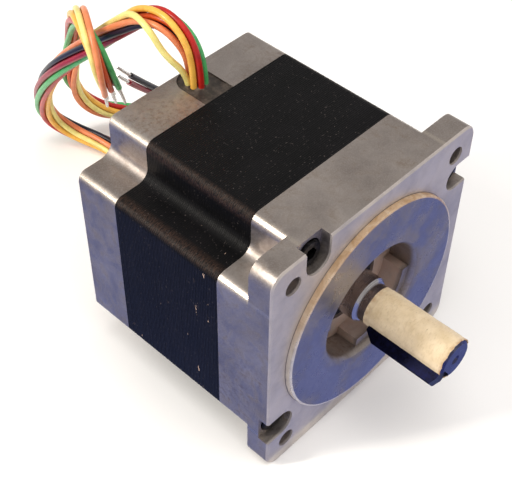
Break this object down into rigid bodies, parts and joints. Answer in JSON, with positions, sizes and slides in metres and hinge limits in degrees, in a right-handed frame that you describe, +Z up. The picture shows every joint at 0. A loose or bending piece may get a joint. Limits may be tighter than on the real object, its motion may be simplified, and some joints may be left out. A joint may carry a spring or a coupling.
{
  "type": "stepper motor",
  "caption": "Square hybrid stepper motor lying on its side, with a short keyed shaft in a wrap, a four-hole mounting flange with round pilot, and eight looped flying leads",
  "frame": {"origin": "shaft axis at the flange's mounting face", "axes": "shaft points to -Y, body to +Y, +Z up, +X to the right seen from the shaft end"},
  "size_m": [0.0894, 0.1972, 0.1075],
  "materials": {
    "cast_bell": "as-cast aluminium with machined faces",
    "lamination": "black painted lamination stack",
    "screw_black": "black oxide steel",
    "grommet_rubber": "dark moulded rubber",
    "shaft_steel": "ground steel",
    "key_steel": "black oxide steel",
    "sleeve_wrap": "cream crepe wrap",
    "rotor_steel": "ground laminations",
    "magnet": "sintered magnet",
    "bearing_steel": "polished bearing steel",
    "bearing_seal": "black rubber",
    "cage_steel": "pressed steel",
    "spring_steel": "spring steel",
    "insulator_plastic": "moulded nylon",
    "copper_winding": "enamelled copper wire",
    "tinned_wire": "tinned strands",
    "lead_ivory": "ivory lead insulation",
    "lead_yellow": "yellow lead insulation",
    "lead_orange": "orange lead insulation",
    "lead_peach": "peach lead insulation",
    "lead_red": "red lead insulation",
    "lead_green": "green lead insulation",
    "lead_navy": "navy lead insulation",
    "lead_maroon": "maroon lead insulation"
  },
  "bodies": {
    "stator": {"front_bell": "cast_bell", "rear_bell": "cast_bell", "stator_core": "lamination", "housing_screws": "screw_black", "lead_grommet": "grommet_rubber", "front_insulator": "insulator_plastic", "rear_insulator": "insulator_plastic", "coil_1": "copper_winding", "coil_2": "copper_winding", "coil_3": "copper_winding", "coil_4": "copper_winding", "coil_5": "copper_winding", "coil_6": "copper_winding", "coil_7": "copper_winding", "coil_8": "copper_winding", "front_bearing_outer_ring": "bearing_steel", "front_bearing_seals": "bearing_seal", "rear_bearing_outer_ring": "bearing_steel", "rear_bearing_seals": "bearing_seal", "preload_washer": "spring_steel", "lead_ivory": "lead_ivory", "lead_ivory_tip": "tinned_wire", "lead_yellow": "lead_yellow", "lead_yellow_tip": "tinned_wire", "lead_orange": "lead_orange", "lead_orange_tip": "tinned_wire", "lead_peach": "lead_peach", "lead_peach_tip": "tinned_wire", "lead_red": "lead_red", "lead_red_tip": "tinned_wire", "lead_green": "lead_green", "lead_green_tip": "tinned_wire", "lead_navy": "lead_navy", "lead_navy_tip": "tinned_wire", "lead_maroon": "lead_maroon", "lead_maroon_tip": "tinned_wire"},
    "rotor": {"rotor_shaft": "shaft_steel", "shaft_key": "key_steel", "shaft_sleeve": "sleeve_wrap", "rotor_cup_front": "rotor_steel", "rotor_cup_rear": "rotor_steel", "rotor_magnet": "magnet", "front_bearing_inner_ring": "bearing_steel", "rear_bearing_inner_ring": "bearing_steel"},
    "front_ball_set": {"front_bearing_balls": "bearing_steel", "front_bearing_cage": "cage_steel"},
    "rear_ball_set": {"rear_bearing_balls": "bearing_steel", "rear_bearing_cage": "cage_steel"}
  },
  "joints": [
    {"name": "rotor_spin", "type": "hinge", "parent": "stator", "child": "rotor", "pos_m": [0, 0, 0], "axis": [0, -1, 0], "continuous": true},
    {"name": "front_balls_spin", "type": "hinge", "parent": "stator", "child": "front_ball_set", "pos_m": [0, 0.0145, 0], "axis": [0, -1, 0], "continuous": true},
    {"name": "rear_balls_spin", "type": "hinge", "parent": "stator", "child": "rear_ball_set", "pos_m": [0, 0.0685, 0], "axis": [0, -1, 0], "continuous": true}
  ],
  "couplings": [
    {"joint": "front_balls_spin", "follows": "rotor_spin", "ratio": 0.381},
    {"joint": "rear_balls_spin", "follows": "rotor_spin", "ratio": 0.381}
  ]
}
